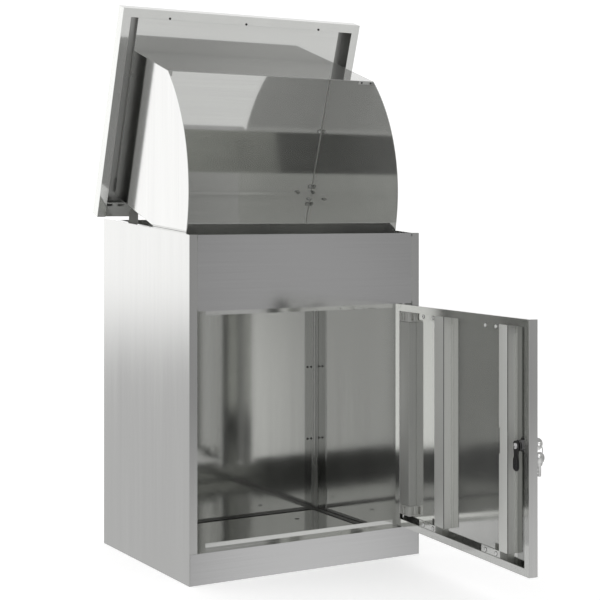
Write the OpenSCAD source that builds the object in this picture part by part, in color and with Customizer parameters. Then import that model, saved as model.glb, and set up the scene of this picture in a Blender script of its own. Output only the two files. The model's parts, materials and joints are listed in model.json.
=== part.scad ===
// Top-loading parcel drop box in folded steel sheet: an open-topped cabinet with a front
// service door, and an overhead lid that carries a tipping hopper.
// Units are millimetres. The model is drawn in its rest pose: lid up, door open, lock undone.

/* [Cabinet] */
// Outside width of the cabinet
body_w = 440; // [300:5:600]
// Outside depth of the cabinet
body_d = 349; // [250:1:500]
// Height of the front top edge
front_h = 555.2; // [400:0.1:800]
// Height of the rear top edge
back_h = 579.7; // [420:0.1:850]
// Thickness of the folded sheet
sheet = 1; // [0.8:0.1:2]
// Width of the folded edges round the front
jamb_w = 14; // [10:0.5:25]
// Width of the inward folds along the top
top_lip = 15; // [8:0.5:25]
// Height of the plinth below the door
plinth_h = 50; // [30:1:100]
// Height of the cabinet floor
floor_z = 18.5; // [5:0.5:40]
// Width of the dark strip round the floor
border_w = 12; // [5:1:60]
// Width of the rail under the floor
rail_w = 50; // [30:1:80]

/* [Door] */
// Height of the door's lower edge
door_z0 = 52; // [40:0.5:80]
// Height of the door's upper edge
door_z1 = 433; // [350:0.5:500]
// Thickness of the door tray
door_t = 15.3; // [10:0.1:25]
// Gap between the door and the opening beside it
door_gap = 1.5; // [0.5:0.1:3]
// Angle the door stands open in the rest pose
door_open = 84.6; // [0:0.1:100]
// Distance of the pivot from the door's hinge edge
pivot_in = 12.1; // [8:0.1:20]
// Depth of the pivot behind the door's outer face
pivot_depth = 6; // [4:0.1:8]
// Radius of the pivot pins
pivot_r = 3; // [2:0.1:5]

/* [Lid] */
// Overhang of the lid past each side of the cabinet
lid_over = 18; // [5:0.5:30]
// Length of the lid from rear edge to front edge
lid_len = 376; // [300:1:500]
// Depth of the lid tray
lid_t = 22.4; // [15:0.1:40]
// Width of the lid's folded edge
lid_lip = 15.4; // [8:0.1:25]
// Angle of the open lid above level
lid_open = 71.5; // [4.1:0.1:90]
// Radius of the lid hinge pins
lid_pin_r = 1.75; // [1:0.05:3]

/* [Hopper] */
// Depth of the hopper top plate in front of the lid edge plane
hop_top_w = 131; // [80:1:200]
// Reach of the hopper floor in front of the lid edge plane
hop_floor_w = 282; // [200:1:320]
// Distance of the hopper top plate from the lid's rear edge
hop_top_s = 300; // [200:1:340]
// Distance of the hopper floor from the lid's rear edge
hop_floor_s = 37.5; // [30:0.5:60]
// Height of the lip at the front of the hopper floor
hop_lip = 46.5; // [10:0.5:80]
// Radius of the curved front edge of the hopper sides
hop_edge_r = 290; // [250:1:400]

/* [Lock] */
// Height of the lock above the ground
lock_z = 243.5; // [100:0.5:400]
// Distance of the lock from the door's hinge edge
lock_k = 381; // [300:1:400]
// Length of the cam from its pivot to its tip
cam_len = 38; // [20:0.5:60]

/* [Hidden] */
$fn = 48;
// smallest gap drawn between pieces of one body
gap = 0.3;
// running clearance of pins and the lock plug
run = 0.05;
steel = [0.72, 0.73, 0.72];
steel_in = [0.66, 0.67, 0.65];
black = [0.09, 0.09, 0.09];
bright = [0.80, 0.80, 0.80];
// top edge height at a depth y
function top_z(y) = front_h + (back_h - front_h) * y / body_d;
// lid hinge axis, in cabinet coordinates and in lid coordinates
hinge_y = body_d;
hinge_z = 600;
hinge_s = 12.8;
hinge_w = 17.6;
hinge_x = [56, body_w - 56];
// lid inner face, hopper back plate
skin_w = lid_t - sheet;
hop_back_w = 14;
liner_s = 360;
hop_x0 = 17;
hop_x1 = body_w - 17;
// door in its closed place
door_x0 = jamb_w + door_gap;
door_x1 = body_w - 15 - 0.5;
door_y = 0.3;
pivot_x = door_x1 - pivot_in;
pivot_y = door_y + pivot_depth;
door_lip = 12;
// height of the stiffener's lower end above the door's lower edge
stiff_foot = 23.5;
stop_x0 = 36;
stop_x1 = body_w - 44;
stop_y = 16;
hdr_z = door_z1 + 1;
// rear side flanges and rivets
rear_flange = 40;
wall_rivet_z = [153, 291.5];
anchor_x = [84, body_w - 84];
anchor_y = [75, 275];
anchor_r = 5;
// lock axis in closed door coordinates
lock_x = door_x1 - lock_k;
cam_y = door_y + door_t + 2.7;
cam_t = 2;
plug_r = 5.5;
key_t = 2;
key_hole_out = 21.5;
ring_r = 9;
ring_wire = 0.9;

// Which piece to draw

// cabinet coordinates start at the front left bottom corner
module cab() {
    translate([-body_w / 2, -body_d / 2, 0])
        children();
}

// lid coordinates: x across, -y from the rear edge forwards, z from the edge plane outwards
module lid() {
    cab()
        translate([0, hinge_y, hinge_z])
            rotate([-lid_open, 0, 0])
                translate([0, hinge_s, -hinge_w])
                    children();
}

// closed door, turned about its pivot
module door() {
    cab()
        translate([pivot_x, pivot_y, 0])
            rotate([0, 0, door_open])
                translate([-pivot_x, -pivot_y, 0])
                    children();
}

// box from its two corners
module box(a, b) {
    translate(a)
        cube([b[0] - a[0], b[1] - a[1], b[2] - a[2]]);
}

// profile in the y-z plane, from x0 to x1
module side_profile(x0, x1, pts) {
    translate([x0, 0, 0])
        rotate([90, 0, 90])
            linear_extrude(height = x1 - x0)
                polygon(pts);
}

module mirror_x() {
    translate([body_w, 0, 0])
        mirror([1, 0, 0])
            children();
}

// side wall drawn as the left one; ret adds the fold behind the front edge
module wall(ret) {
    side_profile(0, sheet, [[0, 0], [body_d, 0], [body_d, back_h], [0, front_h]]);
    box([0, 0, plinth_h + gap], [jamb_w, sheet, front_h - 0.1]);
    if (ret)
        box([jamb_w - sheet, 0, plinth_h + gap], [jamb_w, stop_y, hdr_z - gap]);
    side_profile(0, top_lip, [[sheet, top_z(sheet) - sheet], [body_d - 2 * sheet, top_z(body_d - 2 * sheet) - sheet],
        [body_d - 2 * sheet, top_z(body_d - 2 * sheet)], [sheet, top_z(sheet)]]);
    box([0, body_d - sheet, 0], [10, body_d, 570]);
}

module left_wall() {
    color(steel)
        cab()
            wall(true);
}

module right_wall() {
    color(steel)
        cab()
            mirror_x()
                wall(false);
}

module back_panel() {
    y0 = body_d - 2 * sheet;
    color(steel_in)
        cab() {
            box([sheet + gap, y0, 2], [body_w - sheet - gap, y0 + sheet - 0.1, 577]);
            box([sheet + gap, y0 - rear_flange, 2], [2 * sheet + gap, y0 + 0.5, 571]);
            box([body_w - 2 * sheet - gap, y0 - rear_flange, 2],
                [body_w - sheet - gap, y0 + 0.5, 571]);
        }
}

// dark rivets in pairs near the rear corners
module wall_rivets() {
    color(black)
        cab()
            for (x = [11, 19, body_w - 19, body_w - 11])
                for (z = wall_rivet_z)
                    translate([x, body_d - 2 * sheet - 1.25, z])
                        rotate([-90, 0, 0])
                            cylinder(h = 1.2, r1 = 1.5, r2 = 2.1);
}

// small angles in the two rear corners
module corner_angle() {
    x0 = 2 * sheet + 2 * gap;
    y1 = body_d - 2 * sheet - gap;
    box([x0, y1 - 11, floor_z + 1.4], [x0 + sheet, y1, 560]);
    box([x0, y1 - sheet, floor_z + 1.4], [x0 + 3, y1, 560]);
}

module corner_angles() {
    color(steel_in)
        cab() {
            corner_angle();
            mirror_x()
                corner_angle();
        }
}

// thin dark strip on the floor along the two side walls and the back
module floor_border() {
    x0 = 2 * sheet + 2 * gap + 0.5;
    x1 = body_w - x0;
    y1 = body_d - 2 * sheet - gap - 0.1;
    color(black)
        cab()
            translate([0, 0, floor_z + 0.05])
                difference() {
                    box([x0, 20, 0], [x1, y1, 1]);
                    box([x0 + border_w, 19, -1], [x1 - border_w, y1 - border_w, 2]);
                }
}

module floor_pan() {
    x0 = 2 * sheet + 2 * gap;
    x1 = body_w - x0;
    y0 = 18;
    y1 = body_d - 2 * sheet - gap;
    color(steel_in)
        cab()
            difference() {
                box([x0, y0, 1], [x1, y1, floor_z]);
                box([x0 + sheet, y0 + sheet, 0], [x1 - sheet, y1 - sheet, floor_z - sheet]);
                for (x = anchor_x)
                    for (y = anchor_y)
                        translate([x, y, floor_z - 5])
                            cylinder(h = 10, r = anchor_r);
            }
}

// channel across the cabinet under the middle of the floor, standing on the ground
module floor_rail() {
    x0 = 3 * sheet + 3 * gap;
    x1 = body_w - x0;
    ym = body_d / 2;
    color(steel_in)
        cab()
            difference() {
                box([x0, ym - rail_w / 2, 0], [x1, ym + rail_w / 2, floor_z - sheet - 0.05]);
                box([x0 - 1, ym - rail_w / 2 + sheet, sheet], [x1 + 1, ym + rail_w / 2 - sheet, floor_z]);
            }
}

module plinth_panel() {
    x0 = sheet + gap;
    x1 = body_w - x0;
    color(steel)
        cab()
            difference() {
                union() {
                    box([x0, 0, 0], [x1, sheet, plinth_h]);
                    box([x0, 0, plinth_h - sheet], [x1, stop_y + sheet, plinth_h]);
                    box([stop_x0, stop_y, plinth_h - sheet], [stop_x1, stop_y + sheet, plinth_h + 11]);
                }
                translate([pivot_x, pivot_y, plinth_h - 5])
                    cylinder(h = 10, r = pivot_r + run);
            }
}

module header_panel() {
    x0 = jamb_w + 0.6;
    x1 = body_w - 15 - 0.6;
    z1 = front_h - 0.1;
    color(steel)
        cab()
            difference() {
                union() {
                    box([x0, 0, hdr_z], [x1, sheet, z1]);
                    box([top_lip + gap, 0, z1 - sheet], [body_w - top_lip - gap, 16, z1]);
                    box([x0, 0, hdr_z], [x1, stop_y + sheet, hdr_z + sheet]);
                    box([stop_x0, stop_y, hdr_z - 8], [stop_x1, stop_y + sheet, hdr_z + sheet]);
                    box([3, sheet + 0.05, hdr_z + 4], [x0 + 4, 2 * sheet + 0.05, z1 - 6]);
                    box([x1 - 4, sheet + 0.05, hdr_z + 4], [body_w - 3, 2 * sheet + 0.05, z1 - 6]);
                    box([x0 + 1, sheet / 2, hdr_z + 4], [x0 + 4, 2 * sheet, z1 - 6]);
                    box([x1 - 4, sheet / 2, hdr_z + 4], [x1 - 1, 2 * sheet, z1 - 6]);
                }
                translate([pivot_x, pivot_y, hdr_z - 5])
                    cylinder(h = 10, r = pivot_r + run);
            }
}

// pin with a flat head above the header's lower fold
module door_pin_upper() {
    color(bright)
        cab()
            translate([pivot_x, pivot_y, 0]) {
                translate([0, 0, door_z1 - 24.5])
                    cylinder(h = hdr_z + sheet - door_z1 + 25.5, r = pivot_r);
                translate([0, 0, hdr_z + sheet + 0.05])
                    cylinder(h = 2.5, r = pivot_r + 2);
            }
}

// pin with a thrust collar that carries the door
module door_pin_lower() {
    color(bright)
        cab()
            translate([pivot_x, pivot_y, 0]) {
                translate([0, 0, plinth_h - sheet - 3])
                    cylinder(h = door_z0 - plinth_h + 41.5, r = pivot_r);
                translate([0, 0, plinth_h - sheet - 2.55])
                    cylinder(h = 2.5, r = pivot_r + 2);
                translate([0, 0, plinth_h + 0.05])
                    cylinder(h = door_z0 - plinth_h - 0.15, r = pivot_r + 2.2);
            }
}

knuckle_r = 3.4;
// cabinet half of a lid hinge: a leaf on the back panel with the middle knuckle
module hinge_base(x) {
    y1 = body_d - 2 * sheet - 0.05;
    ly = hinge_y - knuckle_r;
    color(steel_in)
        cab()
            difference() {
                union() {
                    box([x - 4, ly, hinge_z - 10], [x + 4, ly + 1.35, hinge_z]);
                    box([x - 9, ly, 548], [x + 9, ly + 1.35, hinge_z - 8]);
                    translate([x - 4, hinge_y, hinge_z])
                        rotate([0, 90, 0])
                            cylinder(h = 8, r = knuckle_r);
                }
                translate([x - 10, hinge_y, hinge_z])
                    rotate([0, 90, 0])
                        cylinder(h = 20, r = lid_pin_r + run);
            }
}

module lid_hinge_base_left() {
    hinge_base(hinge_x[0]);
}

module lid_hinge_base_right() {
    hinge_base(hinge_x[1]);
}

module hinge_pin(x) {
    color(bright)
        cab()
            translate([x - 10.9, hinge_y, hinge_z])
                rotate([0, 90, 0]) {
                    cylinder(h = 21.4, r = lid_pin_r);
                    cylinder(h = 0.8, r = lid_pin_r + 0.8);
                }
}

module lid_hinge_pin_left() {
    hinge_pin(hinge_x[0]);
}

module lid_hinge_pin_right() {
    hinge_pin(hinge_x[1]);
}

// screws that hold the hinge leaves to the back panel
module hinge_screws() {
    color(bright)
        cab()
            for (x = hinge_x)
                for (z = [556, 568])
                    translate([x, hinge_y - knuckle_r - 1.6, z])
                        rotate([-90, 0, 0])
                            cylinder(h = 1.55, r = 2.6);
}

// lid half of a hinge: a leaf under the lid skin with the two outer knuckles
module hinge_leaf(x) {
    w0 = skin_w - 1.5;
    color(steel_in)
        lid()
            difference() {
                union() {
                    box([x - 10, -35, w0], [x + 10, -19, skin_w - 0.1]);
                    for (s = [-1, 1]) {
                        box([x + s * 7.15 - 2.85, -20, w0], [x + s * 7.15 + 2.85, -hinge_s, skin_w - 0.4]);
                        translate([x + s * 7.15 - 2.85, -hinge_s, hinge_w])
                            rotate([0, 90, 0])
                                cylinder(h = 5.7, r = knuckle_r);
                    }
                }
                translate([x - 12, -hinge_s, hinge_w])
                    rotate([0, 90, 0])
                        cylinder(h = 24, r = lid_pin_r + run);
            }
}

module lid_hinge_leaf_left() {
    hinge_leaf(hinge_x[0]);
}

module lid_hinge_leaf_right() {
    hinge_leaf(hinge_x[1]);
}

// shallow tray with folded edges, open towards the cabinet
module lid_pan() {
    x0 = -lid_over;
    x1 = body_w + lid_over;
    rear_w = 3;
    color(steel)
        lid()
            difference() {
                union() {
                    box([x0, -lid_len, skin_w], [x1, 0, lid_t]);
                    box([x0, -lid_len, 0], [x0 + sheet, 0, lid_t]);
                    box([x1 - sheet, -lid_len, 0], [x1, 0, lid_t]);
                    box([x0, -lid_len, 0], [x1, -lid_len + sheet, lid_t]);
                    box([x0, -sheet, rear_w], [x1, 0, lid_t]);
                    box([x0, -lid_len, 0], [x0 + lid_lip, 0, sheet]);
                    box([x1 - lid_lip, -lid_len, 0], [x1, 0, sheet]);
                    box([x0, -lid_len, 0], [x1, -lid_len + lid_lip, sheet]);
                    box([x0, -26, rear_w], [x1, 0, rear_w + sheet]);
                }
                for (x = hinge_x)
                    box([x - 12, -27, rear_w - 1], [x + 12, 1, skin_w - 0.5]);
                for (x = [-3.5, 19.5, body_w - 9.5, body_w - 32.5])
                    box([x, -23.5, rear_w - 1], [x + 13, -19.5, rear_w + 2]);
            }
}

// rubber buttons that meet the header when the lid is down
module lid_bumpers() {
    color(black)
        lid()
            for (x = [70, body_w / 2, body_w - 70])
                translate([x, -362.8, -1.7])
                    cylinder(h = 1.65, r = 2);
}

// liner behind the hopper, running on to the lid's front fold
module hopper_back() {
    color(steel_in)
        lid()
            box([hop_x0, -liner_s, hop_back_w], [hop_x1, -hop_floor_s, hop_back_w + sheet]);
}

// folded strips between the hopper back and the lid
module hopper_spacers() {
    color(steel_in)
        lid()
            for (x = [80, body_w - 110])
                difference() {
                    box([x, -liner_s + 10, hop_back_w + sheet + 0.05], [x + 30, -50, skin_w - 0.05]);
                    box([x + sheet, -liner_s + 9, hop_back_w + 2 * sheet], [x + 30 - sheet, -49, skin_w + 1]);
                }
}

// side of the hopper: a flat plate cut by the arc of its front edge
module hopper_side(x0) {
    // arc through the top plate's front corner and the foot of the front lip
    q = [-hop_top_s, -hop_top_w];
    f = [-hop_floor_s, -hop_floor_w - sheet];
    c = q - f;
    n = [-c[1], c[0]] / norm(c);
    centre = (q + f) / 2 - n * sqrt(hop_edge_r * hop_edge_r - c * c / 4);
    lid()
        translate([x0, 0, 0])
            rotate([90, 0, 90])
                linear_extrude(height = sheet)
                    intersection() {
                        translate(centre)
                            circle(r = hop_edge_r, $fn = 180);
                        translate([-hop_top_s, -400])
                            square([hop_top_s - hop_floor_s, 399.9 + hop_back_w]);
                    }
}

module hopper_left_side() {
    color(steel)
        hopper_side(hop_x0);
}

module hopper_right_side() {
    color(steel)
        hopper_side(hop_x1 - sheet);
}

// top plate, with a narrow fold down along its rear edge
module hopper_top() {
    x0 = hop_x0 + sheet + 0.1;
    x1 = hop_x1 - sheet - 0.1;
    color(steel_in)
        lid() {
            box([x0, -hop_top_s, -hop_top_w], [x1, -hop_top_s + sheet - 0.1, hop_back_w - 0.1]);
            box([x0, -hop_top_s, hop_back_w - 0.1 - sheet], [x1, -hop_top_s + 8, hop_back_w - 0.1]);
            // tabs down behind the front corners
            box([x0, -hop_top_s, -hop_top_w], [x0 + 8, -hop_top_s + 9, -hop_top_w + sheet]);
            box([x1 - 30, -hop_top_s, -hop_top_w], [x1, -hop_top_s + 6.5, -hop_top_w + sheet]);
        }
}

// floor plate with a fold up the back and a lip at the front
module hopper_floor() {
    x0 = hop_x0 + sheet + 0.1;
    x1 = hop_x1 - sheet - 0.1;
    s0 = hop_floor_s;
    w0 = hop_back_w - 0.1;
    color(steel_in)
        lid() {
            box([x0, -s0 - sheet, -hop_floor_w], [x1, -s0, w0]);
            box([x0, -s0 - 7, w0 - sheet], [x1, -s0, w0]);
            box([x0, -s0 - hop_lip, -hop_floor_w], [x1, -s0, -hop_floor_w + sheet]);
        }
}

// pan-head bolts in the corners of the hopper
module hopper_bolts() {
    color(bright)
        lid()
            for (x = [hop_x0 + 5.8, hop_x1 - 5.8]) {
                for (s = [56, 166])
                    translate([x, -s, hop_back_w - 2.4])
                        cylinder(h = 2.35, r1 = 2.6, r2 = 3.4);
                translate([x + (x < body_w / 2 ? 12.2 : -12.2), -hop_floor_s - sheet - 0.05, -9])
                    rotate([90, 0, 0])
                        cylinder(h = 2.4, r1 = 4.2, r2 = 3.4);
            }
}

// rivets in the right corner tab of the top plate
module hopper_rivets() {
    color(black)
        lid()
            for (x = [hop_x1 - 24.5, hop_x1 - 6])
                translate([x, -hop_top_s + 3.6, -hop_top_w - 1])
                    cylinder(h = 0.95, r = 1.8);
}

// door tray, open towards the cabinet, with folds all round
module door_pan() {
    x0 = door_x0;
    x1 = door_x1;
    y0 = door_y;
    y1 = door_y + door_t;
    color(steel)
        door()
            difference() {
                box([x0, y0, door_z0], [x1, y1, door_z1]);
                box([x0 + sheet, y0 + sheet, door_z0 + sheet], [x1 - sheet, y1 - sheet, door_z1 - sheet]);
                box([x0 + door_lip, y1 - 2 * sheet, door_z0 + door_lip],
                    [x1 - jamb_w, y1 + sheet, door_z1 - door_lip]);
                translate([pivot_x, pivot_y, door_z0 - 1])
                    cylinder(h = door_z1 - door_z0 + 2, r = pivot_r + 0.5);
                translate([lock_x, y0 - 1, lock_z])
                    rotate([-90, 0, 0])
                        cylinder(h = 3, r = 8.5);
            }
}

// box section along the hinge side, between the two hinge blocks
module hinge_channel() {
    x0 = door_x1 - 47;
    x1 = door_x1 - 15;
    y0 = door_y + sheet + 0.1;
    y1 = door_y + door_t - 0.1;
    color(steel_in)
        door()
            difference() {
                box([x0, y0, door_z0 + 38.5], [x1, y1, door_z1 - 29.5]);
                box([x0 + sheet, y0 - 1, door_z0 + 30], [x1 - sheet, y1 - sheet, door_z1 - 20]);
            }
}

// bearing block for a pivot pin, with a milled window in its face and one in its side
module hinge_block(z0, z1) {
    x0 = door_x1 - 46;
    x1 = door_x1 - 2;
    y0 = door_y + sheet + 0.1;
    y1 = door_y + door_t - sheet - 0.2;
    color(steel_in)
        door()
            difference() {
                union() {
                    box([x0, y0, z0], [x1, y1, z1]);
                    box([x0, y0, z0], [x1 - 14, y1 + 0.8, z1]);
                }
                translate([pivot_x, pivot_y, z0 - 1])
                    cylinder(h = z1 - z0 + 2, r = pivot_r + run);
                box([x0 + 12, y1 - 5, z0 + 1.5], [x0 + 18.5, y1 + 3, z1 - 1.5]);
                box([x0 + 20.5, y1 - 5, z0 + 1.5], [x0 + 27.5, y1 + 3, z1 - 1.5]);
                box([x0 - 1, y0 + 3, z0 + 2], [x0 + 5, y1 - 4, z1 - 2]);
            }
}

module hinge_block_upper() {
    hinge_block(door_z1 - 29, door_z1 - 12.2);
}

module hinge_block_lower() {
    hinge_block(door_z0 + 21, door_z0 + 38);
}

// upright hat section from k0 to k1 along the door; one flank runs on to a fixing tab at each end
module stiffener(k0, k1) {
    xa = door_x1 - k1;
    xb = door_x1 - k0;
    y0 = door_y + sheet + 0.1;
    y1 = door_y + door_t - 0.1;
    za = door_z0 + stiff_foot;
    zb = door_z1 - door_lip - gap;
    color(steel_in)
        door() {
            box([xa, y1 - sheet, za], [xb, y1, zb]);
            box([xa, y0, za], [xa + sheet, y1, zb]);
            box([xb - sheet, y0, door_z0 + sheet + 0.05], [xb, y1 - sheet - 0.05, door_z1 - sheet - 0.05]);
            box([xb - sheet, y1 - 2 * sheet, za], [xb, y1, zb]);
            box([xa - 6, y0, za + 2], [xa + sheet, y0 + sheet, zb - 12]);
            box([xb - sheet, y0, za + 2], [xb + 6, y0 + sheet, zb - 12]);
            for (z = [door_z0 + sheet + 0.05, door_z1 - 22.5])
                box([xb - sheet, y1 - 2 * sheet - 0.05, z], [xb + 52, y1 - sheet - 0.05, z + 21.45]);
        }
}

module stiffener_inner() {
    stiffener(133, 163);
}

// the outer one has a notch beside the lock
module stiffener_outer() {
    xb = door_x1 - 328;
    y1 = door_y + door_t - 0.1;
    difference() {
        stiffener(328, 352);
        door()
            box([xb - 2.4, y1 - 6, lock_z - 20], [xb + 1, y1 + 1, lock_z + 20]);
    }
}

// screws in the stiffener tabs
module door_screws() {
    y1 = door_y + door_t - sheet - 0.1;
    color(bright)
        door()
            for (k = [95.5, 126.5, 288, 318])
                for (z = [door_z0 + 17, door_z1 - 16.6])
                    translate([door_x1 - k, y1, z])
                        rotate([-90, 0, 0])
                            cylinder(h = 1.6, r1 = 3, r2 = 2.2);
}

// round lock body through the door, bored for the plug
module lock_housing() {
    color(black)
        door()
            translate([lock_x, 0, lock_z])
                rotate([-90, 0, 0])
                    difference() {
                        union() {
                            translate([0, 0, door_y - 2.5])
                                cylinder(h = 2.45, r = 11);
                            translate([0, 0, door_y - 0.5])
                                cylinder(h = door_t + 1.8, r = 8.4);
                        }
                        translate([0, 0, door_y - 3])
                            cylinder(h = door_t + 6, r = plug_r + run);
                    }
}

module lock_nut() {
    color(black)
        door()
            translate([lock_x, door_y + sheet + 0.05, lock_z])
                rotate([-90, 0, 0])
                    difference() {
                        cylinder(h = 5, r = 12.5, $fn = 6);
                        translate([0, 0, -1])
                            cylinder(h = 8, r = 8.45);
                    }
}

// turning plug with the key slot in its face
module lock_plug() {
    color(bright)
        door()
            translate([lock_x, 0, lock_z])
                rotate([-90, 0, 0])
                    difference() {
                        translate([0, 0, door_y - 2.7])
                            cylinder(h = cam_y - door_y + 2.65, r = plug_r);
                        translate([-key_t / 2 - 0.15, -4.2, door_y - 4])
                            cube([key_t + 0.3, 8.4, 17]);
                    }
}

module lock_cam() {
    color(black)
        door()
            difference() {
                union() {
                    translate([lock_x, cam_y, lock_z])
                        rotate([-90, 0, 0])
                            cylinder(h = cam_t, r = 8);
                    box([lock_x - 6, cam_y, lock_z - cam_len], [lock_x + 6, cam_y + cam_t, lock_z]);
                }
                translate([lock_x, cam_y - 1, lock_z])
                    rotate([-90, 0, 0])
                        cylinder(h = 5, r = 2.5);
            }
}

module cam_screw() {
    color(bright)
        door()
            translate([lock_x, cam_y + cam_t + 0.05, lock_z])
                rotate([-90, 0, 0])
                    cylinder(h = 3, r = 4.5, $fn = 6);
}

// outline of a key in the plane of its bow: shank up the +x axis, hole at the origin
module key_shape(blade) {
    difference() {
        union() {
            circle(r = 7.5);
            translate([-3, -10])
                square([8, 20]);
            circle(r = 9.5, $fn = 8);
            translate([4, -3.6])
                square([blade, 7.2]);
        }
        translate([-3.5, 0])
            circle(r = 2.6);
    }
}

// key standing in the lock, its bow in an upright plane
module key() {
    reach = key_hole_out - 3.5;
    color(bright)
        door()
            translate([lock_x - key_t / 2, door_y - reach, lock_z])
                rotate([90, 0, 90])
                    linear_extrude(height = key_t)
                        key_shape(reach + 8);
}

// split ring through the bow, hanging in a plane level with the door face
module key_ring() {
    color(bright)
        door()
            translate([lock_x, door_y - key_hole_out, lock_z - ring_r])
                rotate([90, 0, 0])
                    rotate_extrude($fn = 64)
                        translate([ring_r, 0])
                            circle(r = ring_wire, $fn = 24);
}

module spare_key() {
    color(bright)
        door()
            translate([lock_x - key_t / 2, door_y - key_hole_out, lock_z - 2 * ring_r - 3.5])
                rotate([90, 0, 90])
                    linear_extrude(height = key_t)
                        rotate([0, 0, -90])
                            key_shape(24);
}

left_wall();
right_wall();
back_panel();
corner_angles();
floor_pan();
floor_rail();
floor_border();
wall_rivets();
plinth_panel();
header_panel();
door_pin_upper();
door_pin_lower();
lid_hinge_base_left();
lid_hinge_base_right();
lid_hinge_pin_left();
lid_hinge_pin_right();
hinge_screws();
lid_pan();
lid_bumpers();
lid_hinge_leaf_left();
lid_hinge_leaf_right();
hopper_back();
hopper_spacers();
hopper_left_side();
hopper_right_side();
hopper_top();
hopper_floor();
hopper_bolts();
hopper_rivets();
door_pan();
hinge_channel();
hinge_block_upper();
hinge_block_lower();
stiffener_inner();
stiffener_outer();
door_screws();
lock_housing();
lock_nut();
lock_plug();
lock_cam();
cam_screw();
key();
key_ring();
spare_key();
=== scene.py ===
"""Looks of the parcel drop box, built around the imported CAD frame."""
import json
import math

import bmesh
import bpy
from mathutils import Matrix, Vector

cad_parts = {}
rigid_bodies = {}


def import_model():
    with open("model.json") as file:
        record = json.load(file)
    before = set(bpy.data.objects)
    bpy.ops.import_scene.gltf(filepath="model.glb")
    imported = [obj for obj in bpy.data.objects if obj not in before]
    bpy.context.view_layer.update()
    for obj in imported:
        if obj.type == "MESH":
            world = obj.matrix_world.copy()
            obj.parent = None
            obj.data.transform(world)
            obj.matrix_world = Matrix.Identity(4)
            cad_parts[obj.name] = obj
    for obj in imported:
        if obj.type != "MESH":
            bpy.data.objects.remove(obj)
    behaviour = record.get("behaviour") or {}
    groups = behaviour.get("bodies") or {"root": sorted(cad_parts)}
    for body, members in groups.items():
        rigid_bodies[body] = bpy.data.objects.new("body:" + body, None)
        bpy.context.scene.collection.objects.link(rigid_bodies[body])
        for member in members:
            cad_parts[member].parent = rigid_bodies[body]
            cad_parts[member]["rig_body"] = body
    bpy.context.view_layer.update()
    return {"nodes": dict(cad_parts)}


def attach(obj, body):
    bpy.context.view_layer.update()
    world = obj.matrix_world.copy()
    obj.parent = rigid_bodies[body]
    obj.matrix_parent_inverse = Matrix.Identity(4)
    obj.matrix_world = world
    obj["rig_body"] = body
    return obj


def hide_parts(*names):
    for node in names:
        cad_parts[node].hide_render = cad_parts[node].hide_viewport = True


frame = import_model()
NODES = frame["nodes"]

# ---------------------------------------------------------------- camera
CAM_LOC = (-1.2124, -2.2240, 0.5924)
CAM_YAW = math.radians(30.23)
CAM_LENS = 86.4
CAM_SHIFT_Y = -0.1478

# what the steel mirrors, by direction
BACKDROP_DIR = (-0.35, 0.94, 0)
HORIZON_GAIN = 1.4
# tone round the horizon, from opposite the backdrop (0) to the backdrop (1)
HORIZON_TONES = [
    (0.0, (0.23,) * 3),
    (0.2, (0.37,) * 3),
    (0.5, (0.63,) * 3),
    (0.9, (0.9,) * 3),
    (1.0, (0.97,) * 3),
]
GROUND_TONE = 0.63
# height of the view direction where the ground starts, and where it has its full tone
GROUND_START = -0.045
GROUND_FULL = -0.118
# how much lower the ground starts towards the front
FRONT_DROP = 0.22
ZENITH_TONE = 0.75
# soft lights added to it, or taken from it: (direction, cosine of the reach, tone)
GLOWS = [
    ((0.493, -0.838, -0.236), 0.993, 0.4),
    ((0.5, -0.865, -0.05), 0.995, 0.12),
    ((-0.36, -0.925, -0.13), 0.984, 0.8),
    ((-0.5, -0.71, -0.47), 0.95, -0.3),
    ((0.5, -0.71, -0.48), 0.95, 0.16),
]

# ---------------------------------------------------------------- sizes, in metres
WELD = 1e-6
EDGE_ROUND = 0.0003
# faces this close to the piece's outer plane belong to it; deeper ones are set back
ON_PLANE = 0.0004
SET_BACK = 0.0008
# from the lid's outer plane down to just clear of its inner face
SKIN_CLEAR = 0.00155
# between a strip and the sheet it lies on
FACE_GAP = 0.00005
RING_R = 0.009
# the floor's four fixing holes
HOLE_X = (-0.136, 0.136)
HOLE_Y = (-0.0995, 0.1005)
HOLE_TOP = 0.0178


def make_camera():
    data = bpy.data.cameras.new("view")
    data.lens = CAM_LENS
    data.sensor_width = 36
    data.shift_y = CAM_SHIFT_Y
    cam = bpy.data.objects.new("view", data)
    cam.location = CAM_LOC
    cam.rotation_euler = (math.pi / 2, 0, -CAM_YAW)
    bpy.context.scene.collection.objects.link(cam)
    bpy.context.scene.camera = cam


# ---------------------------------------------------------------- node helpers
def new_material(name):
    mat = bpy.data.materials.new(name)
    mat.use_nodes = True
    nt = mat.node_tree
    bsdf = next(n for n in nt.nodes if n.type == "BSDF_PRINCIPLED")
    return mat, nt, bsdf


def add(nt, kind, **values):
    n = nt.nodes.new(kind)
    for key, v in values.items():
        if hasattr(n, key):
            setattr(n, key, v)
        else:
            n.inputs[key.replace("_", " ")].default_value = v
    return n


def ramp(nt, source, stops):
    n = nt.nodes.new("ShaderNodeValToRGB")
    els = n.color_ramp.elements
    while len(els) < len(stops):
        els.new(0.5)
    for el, (pos, col) in zip(els, stops):
        el.position = pos
        el.color = col if len(col) == 4 else (*col, 1)
    nt.links.new(source, n.inputs["Fac"])
    return n.outputs["Color"]


# noise scale of the rolled grain and of the soft streaks: low along the grain, high across it
GRAIN_SCALE = {"X": (3, 900, 900), "Z": (900, 900, 3)}
STREAK_SCALE = {"X": (0.5, 8, 8), "Z": (8, 8, 0.5)}


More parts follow.
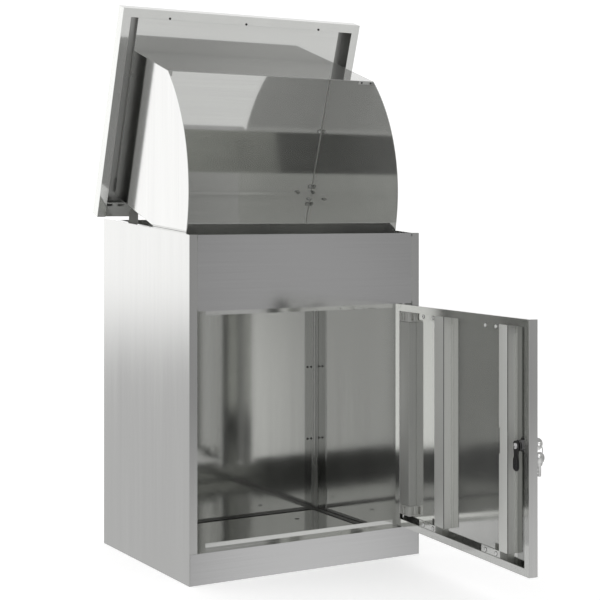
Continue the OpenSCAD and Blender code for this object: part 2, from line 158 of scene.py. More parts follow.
def steel(name, tint, rough, grain_axis="Z", cloud=0.018, streak=0.06, bump=0.02, metallic=1.0):
    """Folded stainless sheet: fine rolled grain along one axis over long soft streaks."""
    mat, nt, bsdf = new_material(name)
    link = nt.links.new
    coord = add(nt, "ShaderNodeTexCoord").outputs["Object"]
    mapping = add(nt, "ShaderNodeMapping")
    mapping.inputs["Scale"].default_value = GRAIN_SCALE[grain_axis]
    link(coord, mapping.inputs["Vector"])
    grain = add(nt, "ShaderNodeTexNoise", Scale=1.0, Detail=3.0, Roughness=0.6)
    link(mapping.outputs["Vector"], grain.inputs["Vector"])
    broad = add(nt, "ShaderNodeMapping")
    broad.inputs["Scale"].default_value = STREAK_SCALE[grain_axis]
    link(coord, broad.inputs["Vector"])
    clouds = add(nt, "ShaderNodeTexNoise", Scale=3.0, Detail=3.0, Roughness=0.55)
    link(broad.outputs["Vector"], clouds.inputs["Vector"])
    light = tuple(min(1.0, c * (1 + cloud)) for c in tint)
    dark = tuple(c * (1 - cloud) for c in tint)
    base = ramp(nt, clouds.outputs["Fac"], [(0.35, dark), (0.65, light)])
    fine = ramp(nt, grain.outputs["Fac"], [(0.3, (1 - streak,) * 3), (0.7, (1.0,) * 3)])
    mix = add(nt, "ShaderNodeMix", data_type="RGBA", blend_type="MULTIPLY")
    mix.inputs[0].default_value = 1.0
    link(base, mix.inputs[6])
    link(fine, mix.inputs[7])
    link(mix.outputs[2], bsdf.inputs["Base Color"])
    r = add(nt, "ShaderNodeMapRange")
    r.inputs["From Min"].default_value = 0.3
    r.inputs["From Max"].default_value = 0.7
    r.inputs["To Min"].default_value = rough * 0.85
    r.inputs["To Max"].default_value = rough * 1.2
    link(clouds.outputs["Fac"], r.inputs["Value"])
    link(r.outputs["Result"], bsdf.inputs["Roughness"])
    bmp = add(nt, "ShaderNodeBump")
    bmp.inputs["Strength"].default_value = bump
    bmp.inputs["Distance"].default_value = 0.0002
    link(grain.outputs["Fac"], bmp.inputs["Height"])
    link(bmp.outputs["Normal"], bsdf.inputs["Normal"])
    bsdf.inputs["Metallic"].default_value = metallic
    return mat


def coated(name, tint, rough, metallic=0.0):
    """Black satin coat or rubber with a fine orange-peel surface."""
    mat, nt, bsdf = new_material(name)
    link = nt.links.new
    coord = add(nt, "ShaderNodeTexCoord").outputs["Object"]
    noise = add(nt, "ShaderNodeTexNoise", Scale=600.0, Detail=2.0)
    link(coord, noise.inputs["Vector"])
    dark = tuple(c * 0.8 for c in tint)
    light = tuple(c * 1.3 for c in tint)
    col = ramp(nt, noise.outputs["Fac"], [(0.3, dark), (0.7, light)])
    link(col, bsdf.inputs["Base Color"])
    bmp = add(nt, "ShaderNodeBump")
    bmp.inputs["Strength"].default_value = 0.15
    bmp.inputs["Distance"].default_value = 0.0002
    link(noise.outputs["Fac"], bmp.inputs["Height"])
    link(bmp.outputs["Normal"], bsdf.inputs["Normal"])
    bsdf.inputs["Roughness"].default_value = rough
    bsdf.inputs["Metallic"].default_value = metallic
    return mat


OUTER = steel("steel_outer", (0.66, 0.66, 0.65), 0.14)
OUTER_X = steel("steel_outer_x", (0.655, 0.655, 0.655), 0.13, "X")
INNER = steel("steel_inner", (0.72, 0.725, 0.705), 0.09, "Z", bump=0.008, metallic=0.92)
INNER_X = steel("steel_inner_x", (0.72, 0.725, 0.705), 0.09, "X", bump=0.008, metallic=0.92)
POLISHED = steel("steel_polished", (0.74, 0.745, 0.725), 0.05, "X", bump=0.004, metallic=0.86)
SIDE = steel("steel_side", (0.70, 0.70, 0.69), 0.10, "Z")
SATIN = steel("steel_satin", (0.72, 0.725, 0.70), 0.5, "Z", cloud=0.02, streak=0.01, bump=0.004, metallic=0.6)
CHANNEL = steel("steel_channel", (0.60, 0.605, 0.585), 0.4, "Z", cloud=0.02, streak=0.01, bump=0.004,
                metallic=0.75)
# The next three steels are darker copies of the sheet: painted shade, put on faces and strips that lie in
# shade. This first one is the deepest.
SHADE_DEEP = steel("steel_shade_deep", (0.36, 0.365, 0.35), 0.16, "Z", bump=0.004)
SHADE_STRIP = steel("steel_shade_strip", (0.46, 0.465, 0.45), 0.12, "Z", bump=0.004)
SHADED = steel("steel_shaded", (0.44, 0.445, 0.43), 0.3, "Z", metallic=0.65)
ZINC = steel("zinc_plate", (0.8, 0.8, 0.79), 0.32, "X", cloud=0.06, metallic=0.55)
BRIGHT = steel("bright_metal", (0.82, 0.82, 0.81), 0.14, "X", cloud=0.08)
CHROME = steel("chrome", (0.8, 0.8, 0.8), 0.12, "X", cloud=0.05)
DARK_CHROME = steel("dark_chrome", (0.13, 0.13, 0.13), 0.14, "X", cloud=0.05)
BLACK = coated("black_metal", (0.012, 0.012, 0.012), 0.3)
# dark rubber for the bumpers, also used as painted shade: the rings under the heads and the lines along the
# stiffener bends
RUBBER_AND_SHADE = coated("rubber", (0.02, 0.02, 0.02), 0.7)
EDGE_STRIP = coated("edge_strip", (0.05, 0.05, 0.047), 0.35, metallic=0.5)

MATERIAL_OF = {
    "left_wall": OUTER, "right_wall": OUTER, "back_panel": INNER, "corner_angles": INNER,
    "floor_pan": INNER_X, "floor_rail": INNER_X, "plinth_panel": OUTER_X, "header_panel": OUTER_X,
    "floor_border": EDGE_STRIP, "wall_rivets": BLACK,
    "lid_pan": INNER, "hopper_back": POLISHED, "hopper_spacers": SATIN,
    "hopper_left_side": POLISHED, "hopper_right_side": POLISHED, "hopper_top": POLISHED,
    "hopper_floor": POLISHED, "door_pan": OUTER, "hinge_channel": CHANNEL,
    "stiffener_inner": SATIN, "stiffener_outer": SATIN,
    "door_pin_upper": BRIGHT, "door_pin_lower": BRIGHT, "lid_hinge_pin_left": BRIGHT,
    "lid_hinge_pin_right": BRIGHT, "hinge_screws": ZINC, "hopper_bolts": ZINC,
    "door_screws": ZINC, "lock_plug": BRIGHT, "cam_screw": BRIGHT, "key": BRIGHT,
    "key_ring": BRIGHT, "spare_key": BRIGHT,
    "lid_hinge_base_left": SATIN, "lid_hinge_base_right": SATIN, "lid_hinge_leaf_left": SATIN,
    "lid_hinge_leaf_right": SATIN, "hinge_block_upper": SATIN, "hinge_block_lower": SATIN,
    "lock_housing": BLACK, "lock_nut": BLACK, "lock_cam": BLACK, "hopper_rivets": BLACK,
    "lid_bumpers": RUBBER_AND_SHADE,
}
LID_TILT = math.radians(71.5)
DOOR_TURN = math.radians(84.6)
LOCAL = {"lid": Matrix.Rotation(-LID_TILT, 3, "X").inverted()}
for part in ("door", "lock", "ring", "loose_key"):
    LOCAL[part] = Matrix.Rotation(DOOR_TURN, 3, "Z").inverted()
# other finishes on part of a piece; the darker steels among them are painted shade on the faces of one
# direction: (axis, side or 0 for both, "front"/"back" plane only or None, finish)
FINISH_AND_SHADE_RULES = {
    "back_panel": [(0, 0, None, SHADE_DEEP)],
    "corner_angles": [(0, 0, None, SHADED)],
    "hinge_channel": [(0, 0, None, SHADED)],
    "hopper_left_side": [(0, -1, None, SIDE)],
    "hopper_right_side": [(0, 1, None, SIDE)],
    "hopper_top": [(2, -1, None, SHADED)],
    "door_pan": [(1, 1, "front", INNER)],
    "stiffener_inner": [(1, 1, "back", INNER)],
    "stiffener_outer": [(1, 1, "back", INNER)],
}
# sheet pieces whose outward side shows the brushed finish and whose inward side stays mirror-bright; the
# lid's inward side instead gets the darker steel, painted shade in its recess
TWO_SIDED = {"left_wall", "right_wall", "header_panel", "plinth_panel", "lid_pan", "door_pan"}


def stand_for(ob, node):
    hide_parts(node)
    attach(ob, NODES[node]["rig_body"])


def back_finish_or_shade(node):
    """The inward finish of a two-sided sheet piece; for the lid it is the darker steel, painted shade on the
    inner face of the lid skin.
    """
    if node == "lid_pan":
        return SHADED
    return INNER_X if MATERIAL_OF[node] is OUTER_X else INNER


def place_mesh(name, bm, mats):
    """Turns a finished bmesh into an object of the scene."""
    mesh = bpy.data.meshes.new(name)
    bm.to_mesh(mesh)
    bm.free()
    for mat in mats:
        mesh.materials.append(mat)
    ob = bpy.data.objects.new(name, mesh)
    bpy.context.scene.collection.objects.link(ob)
    return ob


def turn_back(bm, turn):
    """From the piece's own directions back into the row frame, with all faces facing outward."""
    back = turn.inverted()
    for v in bm.verts:
        v.co = back @ v.co
    bmesh.ops.recalc_face_normals(bm, faces=bm.faces)


def soften(node):
    """A copy of a CAD node with its folded and cut edges rounded; it stands for the node."""
    src = NODES[node]
    bm = bmesh.new()
    bm.from_mesh(src.data)
    bmesh.ops.remove_doubles(bm, verts=bm.verts, dist=WELD)
    bmesh.ops.dissolve_limit(bm, angle_limit=math.radians(1), verts=bm.verts, edges=bm.edges)
    mesh = bpy.data.meshes.new(node + "_soft")
    bm.to_mesh(mesh)
    bm.free()
    for stale in ("custom_normal", "sharp_edge", "sharp_face"):
        if mesh.attributes.get(stale):
            mesh.attributes.remove(mesh.attributes[stale])
    mesh.materials.clear()
    mesh.materials.append(MATERIAL_OF[node])
    if node in TWO_SIDED:
        mark_inner_faces(mesh, turn_of(node))
        mesh.materials.append(back_finish_or_shade(node))
    for rule in FINISH_AND_SHADE_RULES.get(node, ()):
        finish_or_shade_faces(mesh, turn_of(node), *rule)
    for p in mesh.polygons:
        p.use_smooth = True
    ob = bpy.data.objects.new(node + "_soft", mesh)
    bpy.context.scene.collection.objects.link(ob)
    mod = ob.modifiers.new("edge", "BEVEL")
    mod.width = EDGE_ROUND
    mod.segments = 2
    mod.limit_method = "ANGLE"
    mod.angle_limit = math.radians(35)
    mod.use_clamp_overlap = True
    even = ob.modifiers.new("even", "WEIGHTED_NORMAL")
    even.mode = "FACE_AREA"
    even.weight = 80
    deps = bpy.context.evaluated_depsgraph_get()
    final = bpy.data.meshes.new_from_object(ob.evaluated_get(deps))
    ob.modifiers.clear()
    ob.data = final
    bpy.data.meshes.remove(mesh)
    stand_for(ob, node)
    return ob


def finish_or_shade_faces(mesh, turn, axis, side, plane, finish_or_shade):
    """Another finish on the faces of one direction, or of one plane of that direction; where it is a darker
    steel, it is painted shade.
    """
    mesh.materials.append(finish_or_shade)
    index = len(mesh.materials) - 1
    front = max((turn @ v.co)[axis] * (side or 1) for v in mesh.vertices)
    for poly in mesh.polygons:
        lean = (turn @ poly.normal)[axis]
        if abs(lean) < 0.9 or lean * side < 0:
            continue
        depth = front - (turn @ poly.center)[axis] * (side or 1)
        chosen = {None: True, "front": depth < ON_PLANE, "back": depth > SET_BACK}[plane]
        if chosen:
            poly.material_index = index


def mark_inner_faces(mesh, turn):
    """Gives faces away from the piece's own outer box the second material."""
    pts = [turn @ v.co for v in mesh.vertices]
    low = [min(p[i] for p in pts) for i in range(3)]
    high = [max(p[i] for p in pts) for i in range(3)]
    for poly in mesh.polygons:
        n = turn @ poly.normal
        c = turn @ poly.center
        axis = max(range(3), key=lambda i: abs(n[i]))
        edge = high[axis] if n[axis] > 0 else low[axis]
        poly.material_index = 0 if abs(c[axis] - edge) < ON_PLANE else 1


# ---------------------------------------------------------------- small parts
def turn_of(node):
    """From the row frame into the piece's own upright directions."""
    return LOCAL.get(NODES[node]["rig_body"], Matrix.Identity(3))


def islands(node):
    """The loose parts of a CAD node as (low, high) corners in its own directions."""
    bm = bmesh.new()
    bm.from_mesh(NODES[node].data)
    bmesh.ops.remove_doubles(bm, verts=bm.verts, dist=WELD)
    turn = turn_of(node)
    left = set(bm.verts)
    out = []
    while left:
        stack = [left.pop()]
        part = []
        while stack:
            v = stack.pop()
            part.append(turn @ v.co)
            for e in v.link_edges:
                o = e.other_vert(v)
                if o in left:
                    left.remove(o)
                    stack.append(o)
        out.append((Vector([min(p[i] for p in part) for i in range(3)]),
                    Vector([max(p[i] for p in part) for i in range(3)])))
    bm.free()
    return out


def rings(bm, centre, axis, profile, steps=32, closed=False):
    """Skin over rings along an axis. A profile entry is (radius or radius function, distance)."""
    u = Vector([0, 0, 0])
    u[(axis + 1) % 3] = 1
    v = Vector([0, 0, 0])
    v[(axis + 2) % 3] = 1
    a = Vector([0, 0, 0])
    a[axis] = 1
    loops = []
    for radius, dist in profile:
        if radius == 0:
            loops.append([bm.verts.new(centre + a * dist)])
            continue
        loop = []
        for k in range(steps):
            t = 2 * math.pi * k / steps
            r = radius(t) if callable(radius) else radius
            loop.append(bm.verts.new(centre + a * dist + (u * math.cos(t) + v * math.sin(t)) * r))
        loops.append(loop)
    pairs = list(zip(loops, loops[1:]))
    if closed:
        pairs.append((loops[-1], loops[0]))
    for one, two in pairs:
        for k in range(steps):
            m = (k + 1) % steps
            if len(one) == 1:
                bm.faces.new((one[0], two[m], two[k]))
            elif len(two) == 1:
                bm.faces.new((one[k], one[m], two[0]))
            else:
                bm.faces.new((one[k], one[m], two[m], two[k]))


def hexagon(r):
    """Radius function of a hexagon with this flat-to-centre distance."""
    return lambda t: r / math.cos((t % (math.pi / 3)) - math.pi / 6)


def cross(r, slim):
    """Radius function of a cross recess."""
    def f(t):
        t = (t + math.pi / 4) % (math.pi / 2) - math.pi / 4
        return min(r, slim / max(1e-6, abs(math.sin(t)))) if abs(t) > 0.01 else r
    return f


def build(node, bm, mats=None, smooth=40):
    """Turns a mesh made in the piece's own directions into the object that stands for the node."""
    turn_back(bm, turn_of(node))
    for e in bm.edges:
        e.smooth = len(e.link_faces) == 2 and e.calc_face_angle(0) < math.radians(smooth)
    for f in bm.faces:
        f.smooth = True
    stand_for(place_mesh(node + "_fine", bm, mats or [MATERIAL_OF[node]]), node)


def heads(node, sign, style):
    """Screw, bolt or rivet heads in the places of the CAD discs; sign is the side they face."""
    bm = bmesh.new()
    for low, high in islands(node):
        size = high - low
        axis = min(range(3), key=lambda i: size[i])
        r = max(size[(axis + 1) % 3], size[(axis + 2) % 3]) / 2
        h = size[axis]
        centre = (low + high) / 2
        centre[axis] = low[axis] if sign > 0 else high[axis]
        shape = [(0, 0), (r, 0), (r, 0.25 * h), (0.96 * r, 0.5 * h), (0.86 * r, 0.75 * h)]
        shape.append((0.7 * r, 0.92 * h))
        if style == "hex":
            shape += [(hexagon(0.42 * r), 0.99 * h), (hexagon(0.38 * r), 0.3 * h), (0, 0.26 * h)]
        elif style == "cross":
            shape += [(cross(0.58 * r, 0.13 * r), 0.97 * h), (cross(0.4 * r, 0.1 * r), 0.35 * h)]
            shape.append((0, 0.3 * h))
        else:
            shape += [(0.34 * r, 1.0 * h), (0.26 * r, 0.86 * h), (0, 0.82 * h)]
        if style != "rivet":
            # a thin dark washer ring, painted shadow: the dark outline that the shadow under the head gives
            done = set(bm.faces)
            ring_under_head = sign * 0.1 * h
            rings(bm, centre, axis, [(0, 0), (1.2 * r, 0), (1.2 * r, ring_under_head), (0, ring_under_head)])
            for f in set(bm.faces) - done:
                f.material_index = 1
        rings(bm, centre, axis, [(k, sign * d) for k, d in shape])
    build(node, bm, [MATERIAL_OF[node], RUBBER_AND_SHADE])


def outline_solid(node, loops, plane_axis, low, high, bevel):
    """A flat blank cut to outlines and broken at its edges, between two planes of one axis."""
    curve = bpy.data.curves.new(node, "CURVE")
    curve.dimensions = "2D"
    curve.fill_mode = "BOTH"
    curve.extrude = (high - low) / 2 - bevel
    curve.bevel_depth = bevel
    curve.bevel_resolution = 2
    curve.offset = -bevel
    for loop in loops:
        sp = curve.splines.new("POLY")
        sp.points.add(len(loop) - 1)
        for p, (x, y) in zip(sp.points, loop):
            p.co = (x, y, 0, 1)
        sp.use_cyclic_u = True
    tmp = bpy.data.objects.new("tmp", curve)
    bpy.context.scene.collection.objects.link(tmp)
    mesh = bpy.data.meshes.new_from_object(tmp.evaluated_get(bpy.context.evaluated_depsgraph_get()))
    bpy.data.objects.remove(tmp)
    bpy.data.curves.remove(curve)
    bm = bmesh.new()
    bm.from_mesh(mesh)
    bpy.data.meshes.remove(mesh)
    bmesh.ops.remove_doubles(bm, verts=bm.verts, dist=WELD)
    mid = (low + high) / 2
    for v in bm.verts:
        a, b, c = v.co
        # the two outline directions follow the plane's axis in order
        co = [0, 0, 0]
        co[plane_axis] = c + mid
        co[(plane_axis + 1) % 3] = a
        co[(plane_axis + 2) % 3] = b
        v.co = co
    return bm


def circle(cx, cy, r, start=0.0, stop=360.0, steps=32):
    out = []
    full = abs(stop - start) >= 360
    for k in range(steps if full else steps + 1):
        t = math.radians(start + (stop - start) * k / steps)
        out.append((cx + r * math.cos(t), cy + r * math.sin(t)))
    return out


def make_key(node, hole, heading):
    """Round-bowed key. hole is the centre of its ring hole and heading the blade's direction, as (y, z)."""
    low, high = islands(node)[0]
    lengthwise = 0 if abs(heading[0]) > 0.5 else 1
    far = (high if sum(heading) > 0 else low)[1 + lengthwise]
    tip = abs(far - hole[lengthwise])
    r = 0.0095
    c = 0.0035
    # along the blade from the hole, across
    bow = [(c + x, y) for x, y in circle(0, 0, r, 42, 318, 40)]
    neck = [(c + 0.0085, -0.0056), (c + 0.0112, -0.0056), (c + 0.0118, -0.0034)]
    back = [(tip - 0.0012, -0.0034), (tip, -0.002), (tip, 0.0004)]
    teeth = []
    x = tip - 0.0016
    depths = (0.0006, 0.0019, 0.0009, 0.0022, 0.0013)
    start = c + 0.0136
    step = (x - start) / len(depths)
    edge = 0.0034
    for k, d in enumerate(depths):
        teeth += [(x - step * k, edge), (x - step * (k + 0.32), edge - d), (x - step * (k + 0.6), edge - d)]
    teeth.append((start, edge))
    shoulder = [(c + 0.0118, 0.0034), (c + 0.0112, 0.0056), (c + 0.0085, 0.0056)]
    local = bow + neck + back + teeth + shoulder
    ring_hole = circle(0, 0, 0.0026, steps=24)

    def place(points):
        hx, hy = heading
        return [(hole[0] + x * hx - y * hy, hole[1] + x * hy + y * hx) for x, y in points]
    bm = outline_solid(node, [place(local), place(ring_hole)], 0, low[0], high[0], 0.00025)
    # milled grooves along both flats of the blade, seen as narrow raised lands beside them
    for side, x0 in ((-1, low[0]), (1, high[0])):
        for across in (-0.0021, 0.0012):
            pts = place([(c + 0.0100, across - 0.0003), (tip - 0.0012, across - 0.0003),
                         (tip - 0.0012, across + 0.0003), (c + 0.0100, across + 0.0003)])
            ridge(bm, pts, x0, side * 0.00008)
    build(node, bm)


def ridge(bm, pts, x0, rise):
    """A slim raised land on a flat of constant x."""
    base = [bm.verts.new((x0 - rise, a, b)) for a, b in pts]
    top = [bm.verts.new((x0 + rise, a, b)) for a, b in pts]
    bm.faces.new(base)
    bm.faces.new(top)
    n = len(pts)
    for k in range(n):
        bm.faces.new((base[k], base[(k + 1) % n], top[(k + 1) % n], top[k]))


def centre_of(node):
    low, high = islands(node)[0]
    return (low + high) / 2


def make_lock():
    """Threaded barrel with a rounded collar, and the cam with its pear-shaped, ribbed end."""
    low, high = islands("lock_housing")[0]
    c = (low + high) / 2
    y0, y1 = low[1], high[1]
    c[1] = 0
    bore = 0.00555
    collar, barrel = 0.011, 0.0084
    seat = y0 + 0.00245
    shape = [(bore, y0 + 0.0003), (bore + 0.0004, y0), (collar - 0.0012, y0), (collar - 0.0003, y0 + 0.0005)]
    shape += [(collar, y0 + 0.0012), (collar, y0 + 0.0022), (collar - 0.0002, seat), (barrel, seat)]
    # thread ridges, 1 mm apart
    y = y0 + 0.004
    while y < y1 - 0.0024:
        shape += [(barrel, y), (barrel - 0.00045, y + 0.0005)]
        y += 0.001
    shape += [(barrel, y), (barrel, y1 - 0.0005), (barrel - 0.0005, y1)]
    shape += [(bore + 0.0003, y1), (bore, y1 - 0.0003)]
    bm = bmesh.new()
    rings(bm, c, 1, shape, steps=48, closed=True)
    build("lock_housing", bm, [DARK_CHROME])

    low, high = islands("lock_cam")[0]
    px, pz = c[0], c[2]
    end = low[2] + 0.0068
    left = [(-0.0078, -0.002), (-0.0058, -0.0085), (-0.0052, -0.0135), (-0.006, -0.019)]
    left.append((-0.0068, end - pz + 0.004))
    loop = circle(px, pz, 0.008, 14, 166, 24)
    loop += [(px + x, pz + z) for x, z in left]
    loop += circle(px, end, 0.0068, 180, 360, 24)
    loop += [(px - x, pz + z) for x, z in reversed(left)]
    loop = [(z, x) for x, z in reversed(loop)]
    hole = [(z, x) for x, z in circle(px, pz, 0.0025, steps=24)]
    bm = outline_solid("lock_cam", [loop, hole], 1, low[1], high[1], 0.0003)
    # thicker grip with cross ribs on the paddle
    grip = circle(px, end, 0.0056, 180, 360, 20) + circle(px, pz - 0.021, 0.0054, 0, 180, 20)
    extra = outline_solid("lock_cam_grip", [[(z, x) for x, z in reversed(grip)]], 1,
                          high[1] - 0.0004, high[1] + 0.0016, 0.0005)
    merge(bm, extra)
    for k in range(4):
        z = pz - 0.0225 - 0.0035 * k
        half, thin = 0.0046, 0.0005
        rib = [(px - half, z - thin), (px + half, z - thin), (px + half, z + thin), (px - half, z + thin)]
        extra = outline_solid("lock_cam_rib", [[(q, p) for p, q in rib]], 1,
                              high[1] + 0.0012, high[1] + 0.0021, 0.00025)
        merge(bm, extra)
    build("lock_cam", bm)

    low, high = islands("cam_screw")[0]
    c = (low + high) / 2
    c[1] = low[1]
    h = high[1] - low[1]
    bm = bmesh.new()
    ring_under_head = [(0, 0), (0.0046, 0), (0.0048, 0.0002), (0.0048, 0.0007), (0.0045, 0.0009)]
    flats = [(hexagon(0.0037), 0.0009), (hexagon(0.0037), h - 0.0005), (hexagon(0.0033), h - 0.00015)]
    recess = [(0.0020, h), (cross(0.0021, 0.0005), h), (cross(0.0016, 0.0004), h - 0.0012), (0, h - 0.0013)]
    rings(bm, c, 1, ring_under_head + flats + recess, steps=48)
    build("cam_screw", bm, [CHROME])


def merge(bm, extra):
    mesh = bpy.data.meshes.new("part")
    extra.to_mesh(mesh)
    extra.free()
    bm.from_mesh(mesh)
    bpy.data.meshes.remove(mesh)


def skin_loops(bm, loops):
    """Joins loops of vertices into a tube and closes its ends."""
    count = len(loops[0])
    for one, two in zip(loops, loops[1:]):
        for k in range(count):
            bm.faces.new((one[k], one[(k + 1) % count], two[(k + 1) % count], two[k]))
    bm.faces.new(loops[0])
    bm.faces.new(loops[-1])


def make_ring():
    """Split ring: two turns of sprung wire."""
    low, high = islands("key_ring")[0]
    c = (low + high) / 2
    wire = (high[1] - low[1]) / 4
    r = (high[0] - low[0]) / 2 - wire
    turns, per, around = 2.02, 40, 12
    count = int(turns * per)
    bm = bmesh.new()
    loops = []
    for k in range(count + 1):
        t = 2 * math.pi * k / per
        y = -wire + 2 * wire * min(1.0, max(0.0, (k / per - 0.85) / 0.3))
        out = Vector((math.cos(t), 0, math.sin(t)))
        mid = c + out * r + Vector((0, y, 0))
        loop = []
        for m in range(around):
            a = 2 * math.pi * m / around
            spoke = out * math.cos(a) + Vector((0, 1, 0)) * math.sin(a)
            loop.append(bm.verts.new(mid + spoke * wire * 0.98))
        loops.append(loop)
    skin_loops(bm, loops)
    build("key_ring", bm, smooth=60)


def thin_plate(name, body, mat, low, high):
    """A strip with broken edges between two corners, given in the body's upright directions."""
    bm = bmesh.new()
    bmesh.ops.create_cube(bm, size=1)
    for v in bm.verts:
        v.co = Vector([(low[i] + high[i]) / 2 + v.co[i] * (high[i] - low[i]) for i in range(3)])
    slim = min(high[i] - low[i] for i in range(3))
    bmesh.ops.bevel(bm, geom=bm.edges[:], offset=slim * 0.3, segments=2, affect="EDGES", profile=0.5)
    turn_back(bm, LOCAL[body])
    ob = place_mesh(name, bm, [mat])
    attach(ob, body)


def make_liner_edges():
    """Returns of the liner's two side edges towards the lid skin."""
    low, high = islands("hopper_back")[0]
    skin = islands("lid_pan")[0][1].z - SKIN_CLEAR
    for tag, x0, x1 in (("left", low.x, low.x + 0.0012), ("right", high.x - 0.0012, high.x)):
        thin_plate("liner_edge_" + tag, "lid", CHANNEL,
                   (x0, low.y, high.z + FACE_GAP), (x1, high.y - 0.03, skin))


def make_corner_folds():
    """Upright folds where the hopper's sides meet its back."""
    sheet_back = islands("hopper_back")[0][0].z
    left, right = islands("hopper_left_side")[0], islands("hopper_right_side")[0]
    y0, y1 = left[0].y + 0.002, left[1].y - 0.002
    for tag, x0, x1 in (("left", left[1].x + FACE_GAP, left[1].x + 0.0009),
                        ("right", right[0].x - 0.0009, right[0].x - FACE_GAP)):
        thin_plate("corner_fold_" + tag, "lid", SATIN,
                   (x0, y0, sheet_back - 0.0008), (x1, y1, sheet_back - FACE_GAP))


def make_lock_side_shade_strip():
    """A darker strip on the door skin between the outer stiffener and the lock side: painted shade, a thin
    dark sheet laid on the skin where it lies in shade.
    """
    low, high = islands("door_pan")[0]
    stiffener_edge = islands("stiffener_outer")[0][0].x
    skin = low.y + 0.0016
    inset = 0.0022
    thin_plate("lock_side_shade_strip", "door", SHADE_STRIP, (low.x + inset, skin, low.z + inset),
               (stiffener_edge - 0.0003, skin + 0.0002, high.z - inset))


def make_bend_shade_lines():
    """Dark strip beside the crown of each stiffener, where its flank turns away: painted shade along the
    bend.
    """
    for node in ("stiffener_inner", "stiffener_outer"):
        top = islands(node)[0][1].y
        turn = turn_of(node)
        pts = [turn @ v.co for v in NODES[node].data.vertices]
        crown = [p for p in pts if p.y > top - 0.00001]
        x = min(p.x for p in crown)
        z0, z1 = min(p.z for p in crown), max(p.z for p in crown)
        bm = bmesh.new()
        wide, proud = 0.0007, 0.00012
        section = [(x - 0.0001, top - wide), (x - 0.0001, top + proud), (x + wide, top + proud),
                   (x + wide, top - 0.0002), (x + 0.0002, top - wide)]
        stations = (z0 + 0.0002, (z0 + z1) / 2, z1 - 0.0002)
        skin_loops(bm, [[bm.verts.new((a, b, z)) for a, b in section] for z in stations])
        turn_back(bm, turn)
        ob = place_mesh(node + "_bend_shade", bm, [RUBBER_AND_SHADE])
        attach(ob, "door")


def make_hole_dark_discs():
    """Black discs just below the floor's four fixing holes, which make the holes read dark."""
    bm = bmesh.new()
    disc = [(0, 0), (0.0044, 0), (0.0048, -0.0003), (0.0048, -0.0009), (0, -0.0009)]
    for x in HOLE_X:
        for y in HOLE_Y:
            rings(bm, Vector((x, y, HOLE_TOP)), 2, disc, 24)
    bmesh.ops.recalc_face_normals(bm, faces=bm.faces)
    ob = place_mesh("hole_dark_discs", bm, [RUBBER_AND_SHADE])
    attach(ob, "cabinet")


DETAILED = {"hinge_screws", "door_screws", "hopper_bolts", "wall_rivets", "hopper_rivets", "lid_bumpers",
            "key", "spare_key", "key_ring", "lock_housing", "lock_cam", "cam_screw"}

for name in NODES:
    if name not in DETAILED:
        soften(name)
heads("hinge_screws", -1, "cross")
heads("door_screws", 1, "hex")
heads("hopper_bolts", -1, "hex")
heads("wall_rivets", -1, "rivet")
heads("hopper_rivets", -1, "rivet")
heads("lid_bumpers", -1, "rivet")
RING = centre_of("key_ring")
make_key("key", (RING[1], RING[2] + RING_R), (1, 0))
make_key("spare_key", (RING[1], RING[2] - RING_R), (0, -1))
make_lock()
make_ring()
make_bend_shade_lines()
make_liner_edges()
make_lock_side_shade_strip()
make_corner_folds()
make_hole_dark_discs()


# ---------------------------------------------------------------- stage
def make_floor():
    """Plain pale floor, which the steel doesn't mirror: the world's ground tone takes its place there."""
    bm = bmesh.new()
    bmesh.ops.create_grid(bm, x_segments=4, y_segments=4, size=8)
    mat, _, bsdf = new_material("floor")
    bsdf.inputs["Base Color"].default_value = (0.9, 0.9, 0.9, 1)
    bsdf.inputs["Roughness"].default_value = 0.9
    bsdf.inputs["Specular IOR Level"].default_value = 0.0
    bsdf.inputs["Emission Color"].default_value = (1, 1, 1, 1)
    bsdf.inputs["Emission Strength"].default_value = 0.45
    ob = place_mesh("floor", bm, [mat])
    ob.visible_glossy = False


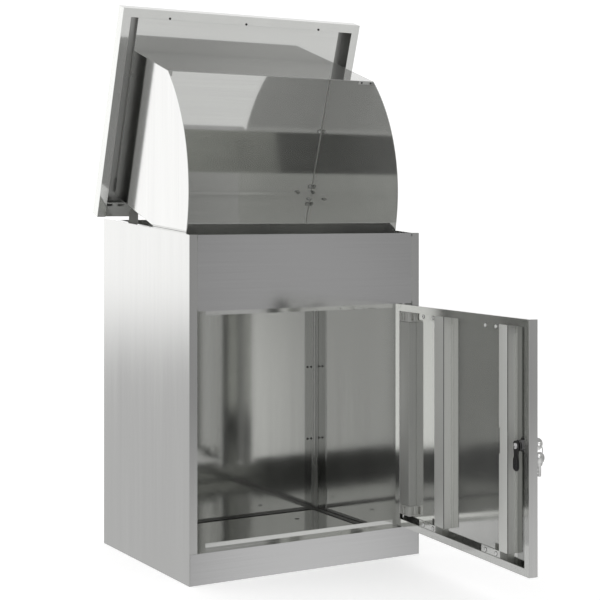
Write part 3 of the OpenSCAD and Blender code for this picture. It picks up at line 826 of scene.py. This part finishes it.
def make_world():
    """White studio. What the steel mirrors: a bright backdrop behind, a dim room in front, a light ground."""
    world = bpy.data.worlds.new("studio")
    bpy.context.scene.world = world
    world.use_nodes = True
    nt = world.node_tree
    nt.nodes.clear()
    link = nt.links.new
    coord = nt.nodes.new("ShaderNodeTexCoord").outputs["Generated"]

    def toward(vec):
        n = nt.nodes.new("ShaderNodeVectorMath")
        n.operation = "DOT_PRODUCT"
        n.inputs[1].default_value = Vector(vec).normalized()
        link(coord, n.inputs[0])
        return n.outputs["Value"]

    def span(value, x0, x1, y0=0.0, y1=1.0, kind="SMOOTHSTEP"):
        n = nt.nodes.new("ShaderNodeMapRange")
        n.interpolation_type = kind
        for key, v in (("From Min", x0), ("From Max", x1), ("To Min", y0), ("To Max", y1)):
            n.inputs[key].default_value = v
        link(value, n.inputs["Value"])
        return n.outputs["Result"]

    def grey(value):
        return (value, value, value)

    def blend(fac, a, b, kind="MIX"):
        n = add(nt, "ShaderNodeMix", data_type="RGBA", blend_type=kind, clamp_result=False)
        for sock, v in ((0, fac), (6, a), (7, b)):
            if isinstance(v, (int, float)):
                n.inputs[sock].default_value = v
            elif isinstance(v, tuple):
                n.inputs[sock].default_value = (*v, 1)
            else:
                link(v, n.inputs[sock])
        return n.outputs[2]

    facing = span(toward(BACKDROP_DIR), -1, 1, 0, 1, "LINEAR")
    horizon = ramp(nt, facing, HORIZON_TONES)
    horizon = blend(1.0, horizon, grey(HORIZON_GAIN), "MULTIPLY")
    up = toward((0, 0, 1))
    lower = nt.nodes.new("ShaderNodeMath")
    lower.operation = "ADD"
    link(up, lower.inputs[0])
    link(span(toward(BACKDROP_DIR), -0.7, 0.9, FRONT_DROP, 0.0), lower.inputs[1])
    ground = blend(span(lower.outputs[0], GROUND_START, GROUND_FULL), horizon, grey(GROUND_TONE))
    sky = blend(span(up, 0.1, 0.8), ground, grey(ZENITH_TONE))
    tone = sky
    for where, edge, strength in GLOWS:
        tone = blend(1.0, tone, span(toward(where), edge, 1.0, 0.0, strength), "ADD")
    back = nt.nodes.new("ShaderNodeBackground")
    link(tone, back.inputs["Color"])
    white = nt.nodes.new("ShaderNodeBackground")
    white.inputs["Color"].default_value = (1, 1, 1, 1)
    white.inputs["Strength"].default_value = 1.1
    path = nt.nodes.new("ShaderNodeLightPath")
    mix = nt.nodes.new("ShaderNodeMixShader")
    link(path.outputs["Is Camera Ray"], mix.inputs["Fac"])
    link(back.outputs[0], mix.inputs[1])
    link(white.outputs[0], mix.inputs[2])
    out = nt.nodes.new("ShaderNodeOutputWorld")
    link(mix.outputs[0], out.inputs["Surface"])


make_camera()
make_floor()
make_world()
bpy.context.scene.view_settings.view_transform = "Standard"
